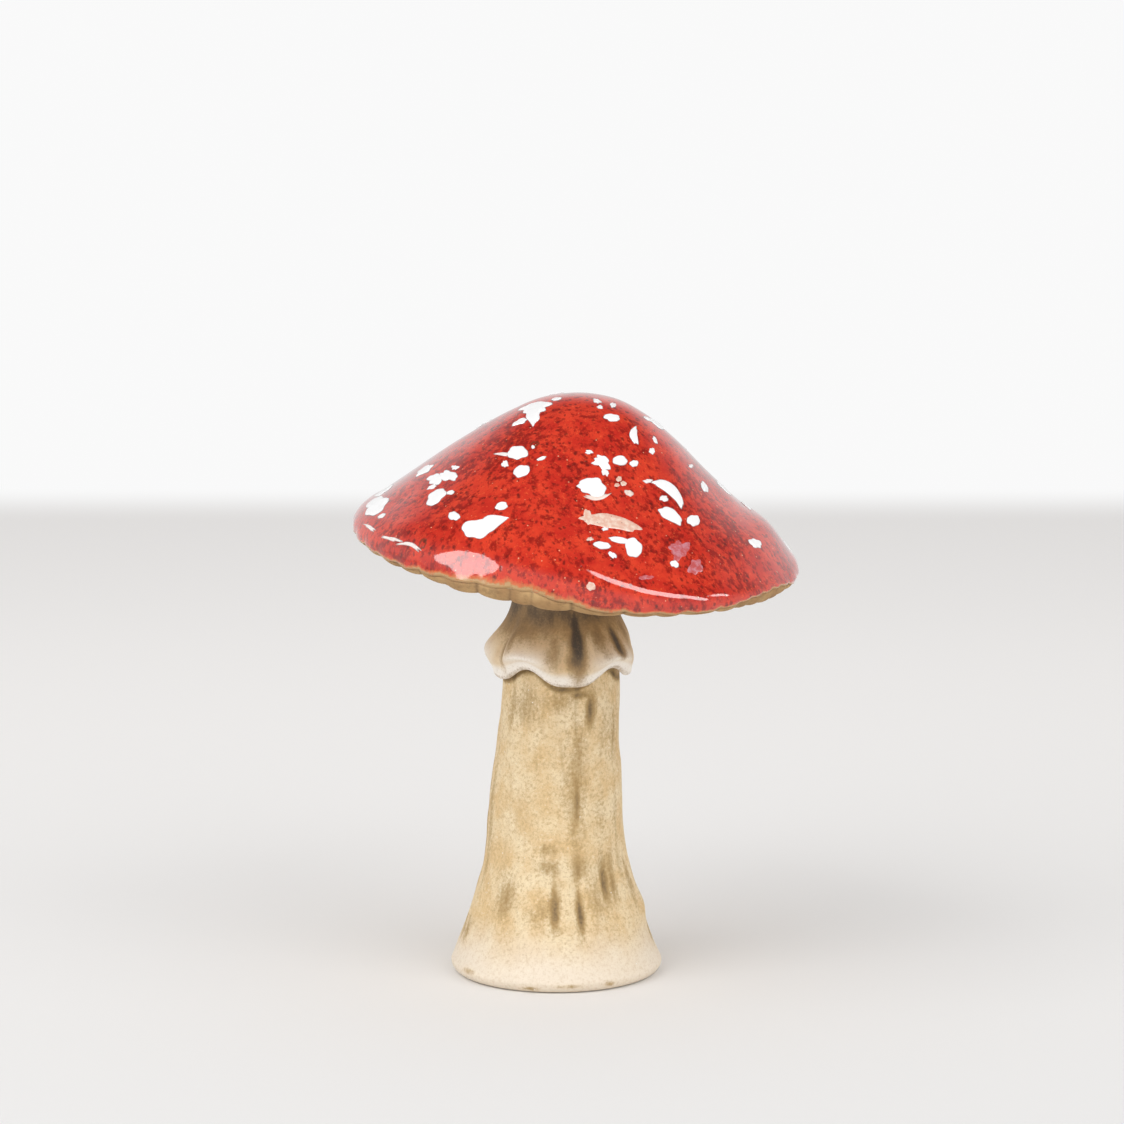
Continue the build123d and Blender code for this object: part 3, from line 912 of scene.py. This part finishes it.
# Oxide stains on the skirt: degrees right of the front, height, half width, half height, strength
SKIRT_STAINS = [
    (11.5, 79, 7.5, 9, 1.25),
    (10, 74, 8, 3, 0.95),
    (-8, 76, 8, 5, 0.5),
    (-14, 83.5, 9, 4, 0.95),
    (32, 80, 9, 4.5, 0.7),
    (50, 77.5, 6.5, 5, 1.15),
    (-47, 80, 6, 5, 0.65),
    (-60, 83.5, 14, 6, 0.8),
    (36, 75.5, 9, 4, 0.3),
    (-57, 75, 4, 6, 0.6),
    (70, 80, 9, 5, 0.6),
    (110, 78, 16, 6, 0.7),
    (150, 80, 16, 5, 0.6),
    (-100, 82, 16, 5, 0.6),
    (-150, 78, 18, 6, 0.8),
]


def skirt_radius(height):
    """Outer radius of the skirt: close to the neck above, full below, tucked in under its rolled hem."""
    full = 11.0 + 6.3 / (1 + exp((height - 79.2) / 2.6))
    return full - 1.7 * smooth_step(73, HEM_HEIGHT, height)


def arch_share(turn):
    """1 under the middle of an arch in the hem, 0 at the lowest point of a lobe."""
    turn = (turn - HEM_ARCHES[0]) % 360 + HEM_ARCHES[0]
    index = bisect_right(HEM_ARCHES, turn) - 1
    start = HEM_ARCHES[index]
    end = HEM_ARCHES[index + 1] if index + 1 < len(HEM_ARCHES) else HEM_ARCHES[0] + 360
    return 0.5 + 0.5 * cos(2 * pi * (turn - start) / (end - start))


def hem_rise(turn):
    """How far the hem is lifted above its lowest point: high in the arches and at the sides."""
    return arch_share(turn) ** 1.9 * HEM_LIFT + 0.9 * (1 - hump(turn, 8, 42))


def build_skirt(finish):
    """The frilled ring: soft folds, a rounded hem with arches, and a seat on the stem's shoulder."""
    bore = NECK_RADIUS + SLIP_GAP
    profile = [(bore, SKIRT_TOP, 0), (skirt_radius(SKIRT_TOP) - 0.5, SKIRT_TOP, 0)]
    lip_height = HEM_HEIGHT + HEM_WALL / 2
    for row in range(SKIRT_ROWS + 1):
        height = SKIRT_TOP - 0.4 + (lip_height - SKIRT_TOP + 0.4) * row / SKIRT_ROWS
        profile.append((skirt_radius(height), height, 1))
    lip_middle = skirt_radius(lip_height) - HEM_WALL / 2
    for row in range(1, HEM_ROWS + 1):
        angle = pi * row / HEM_ROWS
        profile.append((lip_middle + HEM_WALL / 2 * cos(angle), lip_height - HEM_WALL / 2 * sin(angle), 1))
    profile += [(SEAT_RADIUS, height, 0.5) for height in SEAT_ROWS]
    profile.append((bore, SHOULDER_HEIGHT, 0))
    profile.append(profile[0])
    shape, along = spun(profile, SKIRT_STEPS)
    stain_and_shade = shape.verts.layers.float.new("stain_and_shade")
    pale = shape.verts.layers.float.new("pale")
    for point in shape.verts:
        bearing, reach = polar(point.co)
        height = point.co.z
        turn = front_turn(bearing)
        arch = arch_share(turn)
        ring = around(bearing, SKIRT_RING, height)
        if point[along] > 0.25:
            lifted = hem_rise(turn) + 0.5 * lump(ring, 8, 2.9)
            point.co.z += lifted * smooth_step(76.5, HEM_HEIGHT, height)
        if point[along] > 0.75:
            fold = 1.4 * (arch - 0.22) * hump(height, 74, 4.2)
            for middle, half_turn, level, half_height, push in SKIRT_FOLDS:
                fold += push * hump(turn, middle, half_turn) * hump(height, level, half_height)
            reach += fold + 0.3 * lump(ring, 7, 5.5) * smooth_step(SKIRT_TOP, 86, height)
            # Darker towards the top, under the cap.
            dark = smooth_step(73.5, 85, height) * (0.8 + 0.3 * lump(ring, 6, 7.7))
            for middle, level, half_turn, half_height, strength in SKIRT_STAINS:
                gap = (turn - middle + 180) % 360 - 180
                dark = max(dark, strength * hump(gap, 0, half_turn) * hump(height, level, half_height))
            # Painted shade along the hem's lower edge, where it turns under.
            point[stain_and_shade] = max(dark, 0.3 * smooth_step(68.9, 67.9, height), 0)
            # Clean clay on the arches and hem; the left lobe is paled by painted light.
            lobe = max(arch, 0.8 * hump(turn, -95, 26))
            wiped_or_lit = max(smooth_step(72, 69.5, height), lobe * hump(height, 72.8, 3.7))
            point[pale] = wiped_or_lit * max(1 - dark, 0)
        point.co.x = reach * cos(bearing) + NECK_SHIFT
        point.co.y = reach * sin(bearing)
    finished(shape, "skirt_frill", finish, "skirt")


# White flakes

# Flakes seen in the photograph: the pixel of the middle, length, width in pixels, turn in degrees,
# bend and taper as shares of the length, ragged edge, and how milky it is
SEEN_FLAKES = [
    (535, 407, 28, 10, 8, 0, 0.1, 0.2, 1),
    (533, 416, 18, 14, 85, 0, 0.6, 0.15, 1),
    (519.5, 422, 14, 4.5, 25, 0, 0.2, 0.15, 1),
    (556.5, 399, 9, 2.5, 10, 0, 0, 0.1, 1),
    (517.5, 452.5, 20, 12, 8, 0, 0, 0.1, 1),
    (502, 454, 13, 2.5, -3, 0, 0.3, 0.1, 0.7),
    (521.5, 471, 16, 10.5, 15, 0, 0, 0.08, 1),
    (505, 464, 6, 6, 0, 0, 0, 0.2, 1),
    (541.5, 458.5, 8, 3, 20, 0, 0, 0.1, 1),
    (533, 447, 3, 3, 0, 0, 0, 0.1, 0.9),
    (424.5, 470, 18, 6, 36, 0, 0, 0.2, 1),
    (435.5, 479, 16, 9, 12, 0, 0, 0.2, 1),
    (448, 476, 18, 9, -8, 0.05, 0.1, 0.22, 1),
    (432, 487, 8, 3.5, 20, 0, 0, 0.2, 0.9),
    (455, 467.5, 6, 4, 0, 0, 0, 0.3, 0.9),
    (436, 497, 21, 11, 42, 0, 0, 0.12, 1),
    (450.5, 492.5, 7, 3.5, 15, 0, 0, 0.1, 0.9),
    (385, 491.5, 20, 6.5, 36, 0, 0.1, 0.15, 1),
    (377.5, 505, 24, 15, 45, 0, 0.1, 0.16, 1),
    (383, 516, 7, 3, 25, 0, 0, 0.1, 0.9),
    (454, 516, 10.5, 8, -10, 0, 0, 0.1, 1),
    (501.5, 506, 11, 7.5, 15, 0, 0, 0.08, 1),
    (478.5, 527.5, 31, 17, 10, 0, -0.1, 0.1, 1),
    (495, 521, 27, 12, 18, 0, -0.75, 0.05, 1),
    (371.5, 527, 10, 2.6, -38, 0, 0.2, 0.2, 0.7),
    (392, 538.5, 16, 2.6, -17, 0.05, 0.2, 0.2, 0.66),
    (409.5, 544, 18, 3.2, -16, -0.05, 0.3, 0.2, 0.66),
    (612, 417.5, 14.5, 7, -8, 0, 0, 0.12, 1),
    (597, 401, 7, 3.5, -10, 0, 0, 0.2, 0.85),
    (600, 407, 5, 3, 0, 0, 0, 0.2, 0.85),
    (613, 405, 6, 3.5, -20, 0, 0, 0.2, 0.85),
    (633.5, 435, 17, 7, 95, -0.14, 0.1, 0.1, 1),
    (657, 424, 16, 6, -38, 0, 0.1, 0.1, 1),
    (648, 419, 9, 3, -25, 0, 0.1, 0.1, 1),
    (602.5, 462, 16, 11, -40, 0, 0.2, 0.2, 1),
    (596, 463, 8, 4, 5, 0, 0.3, 0.1, 1),
    (605, 472, 8, 5, -45, 0, 0.2, 0.25, 0.75),
    (620, 460.5, 14, 9, -8, 0, 0, 0.06, 1),
    (634, 463.5, 8, 6, 0, 0, 0, 0.1, 1),
    (589, 452, 6, 4, 0, 0, 0, 0.2, 0.8),
    (593, 487, 25, 18, -15, 0, 0, 0.12, 1),
    (581, 486, 8, 5, 5, 0, 0.4, 0.1, 1),
    (597, 498, 22, 4, 4, 0.12, 0, 0.12, 0.5),
    (619, 479, 5, 4, 20, 0, 0, 0.12, 0.2),
    (623.5, 483.5, 5, 4, -20, 0, 0, 0.12, 0.2),
    (617, 485, 4, 3, 0, 0, 0, 0.12, 0.2),
    (629, 493, 8, 5, -20, 0, 0, 0.12, 0.5),
    (671, 489.5, 37, 9.5, -40, -0.14, 0.05, 0.08, 1),
    (664, 498.5, 8, 5, -10, 0, 0, 0.15, 0.75),
    (648, 481, 8, 3, 5, 0, 0, 0.2, 0.7),
    (671, 515, 25, 11, -35, -0.06, 0, 0.1, 1),
    (693.5, 520.5, 12, 10.5, -20, 0, 0, 0.1, 1),
    (611, 521, 52, 13, -10, -0.04, 0, 0.12, 0.12),
    (588, 517, 8, 14, 10, 0, 0, 0.12, 0.12),
    (633.5, 547.5, 19, 15, -60, 0, 0, 0.08, 1),
    (619, 540, 19, 5.5, -10, 0, 0.2, 0.08, 1),
    (602, 545.5, 16, 6.5, -10, 0.05, 0, 0.08, 1),
    (612.5, 555, 8, 4.5, -35, 0, 0, 0.15, 0.9),
    (605, 529, 5, 3, 0, 0, 0, 0.2, 0.8),
    (590, 539, 5, 3, 10, 0, 0, 0.2, 0.4),
    (704.5, 487, 11, 5, -58, 0, 0, 0.1, 1),
    (723.5, 488, 20, 5, -46, 0, 0.1, 0.1, 1),
    (755, 543, 13, 7, -28, 0, 0, 0.15, 1),
    (786, 545.5, 15, 5, -50, 0, 0, 0.15, 1),
    (674.5, 564, 8, 6, -30, 0, 0, 0.12, 1),
    (652, 451, 5, 6, 0, 0, 0, 0.15, 0.9),
    (655, 440, 7, 3, -60, 0, 0, 0.15, 0.9),
    (591, 586, 8, 7, 0, 0, 0, 0.1, 0.2),
    (691, 466, 4, 3, 0, 0, 0, 0.2, 0.8),
    # The last four, lilac and flat, are painted reflections of a window in the glaze.
    (680, 550, 18, 15, 20, 0, 0, 0.28, 0),
    (673, 547, 7, 6, 0, 0, 0, 0.15, 0),
    (695.5, 567, 13, 13, 60, 0, 0, 0.22, 0),
    (646, 577.5, 12, 3.5, 5, 0, 0, 0.15, 0),
]

FLAKE_STEPS = 36
FLAKE_HEIGHT = 0.34
EDGE_MARGIN = 0.12
NORMAL_STEP = 0.4
LEAST_FACING = 0.28
BACK_FLAKES = 30
BACK_REACH = 0.9
BACK_MARGIN = 0.1
GOLDEN_ANGLE = radians(137.508)

# Rings of one flake: share of its outline, share of its height, darkness of the sunk edge's painted shadow
# line
FLAKE_RINGS = [(0, 1.0, 0), (0.35, 1.0, 0), (0.65, 0.98, 0), (0.84, 0.88, 0), (0.95, 0.6, 0), (1.0, 0.25, 0)]
FLAKE_RINGS += [(1.02, 0.1, 0.6), (1.06, 0.04, 1), (1.1, -0.15, 1), (0, -0.15, 0)]


def flake_edge(turn, ragged, seed):
    """Radius of a flake's outline at a turn, 1 on average."""
    wave = 0.4 * sin(2 * turn + seed) + 0.5 * sin(3 * turn + 2.3 * seed) + 0.5 * sin(5 * turn + 4.1 * seed)
    return 1 + ragged * (wave + 0.4 * sin(7 * turn + 1.7 * seed))


def add_flake(shape, middle, lift, ahead, aside, size, form, seed):
    """Spins one flake's section, shapes its outline, lays it on the glaze and joins it to the rest.

    middle is its place in the cap's frame, lift the way out of the glaze, ahead and aside the directions
    of its length and width.
    """
    chip = bmesh.new()
    milk = chip.verts.layers.float.new("milk")
    edge = chip.verts.layers.float.new("edge")
    length, width = size
    bend, taper, ragged, milky = form
    chain = []
    for share, rise, dark in FLAKE_RINGS:
        point = chip.verts.new((share, 0, rise))
        point[milk] = milky
        # Darkness of the painted shadow line on the sunk edge.
        point[edge] = dark * milky
        chain.append(point)
    spin_chain(chip, chain, FLAKE_STEPS)
    margin = EDGE_MARGIN / (width / 2)
    height = min(FLAKE_HEIGHT, 0.14 + 0.08 * width) * (0.08 + 0.92 * milky)
    for point in chip.verts:
        turn, share = polar(point.co)
        if share > 1:
            share = 1 + (share - 1) * margin * 10
        reach = share * flake_edge(turn, ragged, seed)
        forward = reach * cos(turn) * length / 2
        sideways = reach * sin(turn) * width / 2 * max(1 + taper * 2 * forward / length, 0.15)
        sideways += bend * (forward**2 / length) * 4
        place = middle + ahead * forward + aside * sideways
        point.co = glaze_place(place) + lift * point.co.z * height
    mesh = bpy.data.meshes.new("flake")
    chip.to_mesh(mesh)
    chip.free()
    shape.from_mesh(mesh)
    bpy.data.meshes.remove(mesh)


def glaze_normal(place):
    """Direction straight out of the glaze at a place in the cap's frame."""
    slopes = []
    for step in (Vector((NORMAL_STEP, 0, 0)), Vector((0, NORMAL_STEP, 0))):
        slopes.append(glaze_place(place + step) - glaze_place(place - step))
    return slopes[0].cross(slopes[1]).normalized()


def build_flakes(finish):
    """All the flakes: those that the photograph shows, and a like scatter on the back."""
    shape = bmesh.new()
    for name in ("milk", "edge"):
        shape.verts.layers.float.new(name)
    right = cap_inverse.to_3x3() @ Vector((1, 0, 0))
    for seed, (across, down, length, width, turn, bend, taper, ragged, milky) in enumerate(SEEN_FLAKES):
        point = seen_on(inside_cap, across, down, *CAP_SPAN)
        middle = cap_inverse @ point
        toward = (cap_inverse.to_3x3() @ -seen_ray(across, down)).normalized()
        normal = glaze_normal(middle)
        up = toward.cross(right).normalized()
        ahead = right * cos(radians(turn)) + up * sin(radians(turn))
        aside = up * cos(radians(turn)) - right * sin(radians(turn))
        facing = max(normal.dot(toward), LEAST_FACING)
        ahead -= toward * (normal.dot(ahead) / facing)
        aside -= toward * (normal.dot(aside) / facing)
        size = (length * PIXEL, width * PIXEL)
        add_flake(shape, middle, normal, ahead, aside, size, (bend, taper, ragged, milky), seed)
    for step in range(BACK_FLAKES):
        bearing = GOLDEN_ANGLE * step
        reach = CAP_RADIUS * BACK_REACH * sqrt((step + 0.5) / BACK_FLAKES)
        if reach * sin(bearing) < CAP_RADIUS * BACK_MARGIN:
            continue
        length = 2.2 + 3.6 * (0.5 + 0.5 * sin(3 * step))
        middle = around(bearing, reach)
        ahead = Vector((-sin(bearing), cos(bearing), 0))
        aside = Vector((-cos(bearing), -sin(bearing), 0)) * 0.8
        form = (0.12 * sin(5 * step), 0.4 * sin(7 * step), 0.22, 1.0)
        size = (length, length * 0.6)
        add_flake(shape, middle, glaze_normal(middle), ahead, aside, size, form, step + 0.5)
    finished(shape, "white_flake_chips", finish, "white_flakes", cap_frame)


# Stage, lights and camera

# The floor's half sizes and its shift to the front in metres, then where its painted shade pales, darker in
# front, and where it fades, in millimetres
FLOOR_HALF = (3.0, 1.45, 1.0)
FLOOR_SHIFT = (0, -0.65, 0)
FLOOR_PAINTED_SHADE = (-350, 450)
FLOOR_FADES = (690, 790)
WALL_WHITE = 0.95

# The room's light, its brightness in the gloss, how much its ceiling dims that, and where the ceiling starts
ROOM_LIGHT = 0.62
ROOM_GLOSS = 0.8
CEILING_DIMS = 0.72
CEILING = (0.3, 0.75)
LIGHT_TARGET = Vector((0.003, 0, 0.095))


def build_stage():
    """A pale floor, darker in front as painted shade, whose far edge fades to the white behind it."""
    floor = bmesh.new()
    bmesh.ops.create_grid(floor, x_segments=1, y_segments=1, size=1.0)
    bmesh.ops.scale(floor, vec=FLOOR_HALF, verts=floor.verts)
    bmesh.ops.translate(floor, vec=FLOOR_SHIFT, verts=floor.verts)
    paint = Finish("floor_finish")
    depth = paint.add("SeparateXYZ", {}, {"Vector": paint.place}, "Y")
    # Painted shade: the floor's colour darker in front, paler behind.
    paint.colour = paint.mix(paint.ramp(depth, *FLOOR_PAINTED_SHADE), (0.75, 0.745, 0.74), (0.97, 0.95, 0.935))
    seen = paint.add("LightPath", {}, {}, "Is Camera Ray")
    fade = paint.ramp(depth, *FLOOR_FADES) * seen
    paint.lay(fade, (0, 0, 0))
    glow = paint.mix(fade, (0, 0, 0), (WALL_WHITE, WALL_WHITE, WALL_WHITE))
    finish = paint.set(Emission_Color=glow, Emission_Strength=1.0, Roughness=0.7, Specular_IOR_Level=0.0)
    piece = as_object(floor, "floor", finish)


def build_world():
    """A white room with a dim ceiling: white to the camera, softer as light on the object."""
    world = bpy.data.worlds.new("studio")
    bpy.context.scene.world = world
    world.use_nodes = True
    room = Graph(world.node_tree)
    back = room.tree.nodes["Background"]
    is_camera = room.add("LightPath", output="Is Camera Ray")
    is_glossy = room.add("LightPath", output="Is Glossy Ray")
    direction = room.add("TexCoord", output="Generated")
    rise = room.add("SeparateXYZ", {}, {"Vector": direction}, "Z")
    gloss = ROOM_GLOSS - room.ramp(rise, *CEILING) * CEILING_DIMS
    light = ROOM_LIGHT * (1 - is_glossy) + is_glossy * gloss
    plug(room.tree, back.inputs["Color"], (1, 1, 1))
    plug(room.tree, back.inputs["Strength"], is_camera * WALL_WHITE + (1 - is_camera) * light)


def add_light(name, bearing, elevation, width, height, radiance, mirrored, roll=0.0):
    """A soft light a metre away: degrees right of the camera's side, degrees up, then sizes in metres.

    A mirrored one is a window that only shows in the glaze. The others light the ornament and the floor.
    """
    turn = radians(bearing)
    rise = radians(elevation)
    away = Vector((sin(turn) * cos(rise), -cos(turn) * cos(rise), sin(rise)))
    lamp = bpy.data.lights.new(name, "AREA")
    lamp.shape = "ELLIPSE" if mirrored else "RECTANGLE"
    lamp.size = width
    lamp.size_y = height
    lamp.energy = radiance * pi * width * height * (pi / 4 if mirrored else 1)
    light = bpy.data.objects.new(name, lamp)
    light.location = LIGHT_TARGET + away
    light.rotation_euler = (away.to_track_quat("Z", "Y") @ Quaternion((0, 0, 1), radians(roll))).to_euler()
    light.visible_glossy = mirrored
    light.visible_diffuse = not mirrored
    bpy.context.scene.collection.objects.link(light)


def build_camera():
    """The photograph's camera."""
    lens = bpy.data.cameras.new("camera")
    lens.sensor_width = SENSOR
    lens.lens = FOCAL_PIXELS / FRAME_PIXELS * SENSOR
    camera = bpy.data.objects.new("camera", lens)
    camera.location = CAMERA_PLACE * MM
    camera.rotation_euler = (pi / 2 - CAMERA_DIP, 0, 0)
    bpy.context.scene.collection.objects.link(camera)
    bpy.context.scene.camera = camera


BARE_CLAY = ((0.4, 0.26, 0.13), (0.58, 0.42, 0.24))

build_glaze(red_glaze_finish())
build_shell(plain_clay_finish("cap_clay_finish", *BARE_CLAY))
build_gills(gill_finish())
build_stem(stem_finish())
build_skirt(skirt_finish())
build_flakes(flake_finish())

HIDDEN_FINISHES = {
    "cap_collar": plain_clay_finish("collar_clay_finish", *BARE_CLAY),
    "cap_cement": plain_clay_finish("cement_finish", (0.42, 0.39, 0.34), (0.66, 0.62, 0.56)),
    "skirt_slip": plain_clay_finish("slip_finish", (0.5, 0.4, 0.26), (0.74, 0.63, 0.46)),
}
for node_name, hidden_finish in HIDDEN_FINISHES.items():
    node_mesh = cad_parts[node_name].data
    node_mesh.materials.clear()
    node_mesh.materials.append(hidden_finish)

build_stage()
build_world()
add_light("key_softbox", -48, 38, 0.9, 0.9, 2.0, mirrored=False)
add_light("fill_softbox", 45, 30, 0.9, 0.9, 1.5, mirrored=False)
add_light("left_window", -55, 19, 0.64, 0.7, 6.0, mirrored=True)
add_light("right_window", 65, 44, 0.68, 0.28, 7.0, mirrored=True, roll=-47)
add_light("side_window", 96, 36, 0.16, 0.16, 6.0, mirrored=True)
build_camera()
bpy.context.scene.view_settings.view_transform = "Standard"
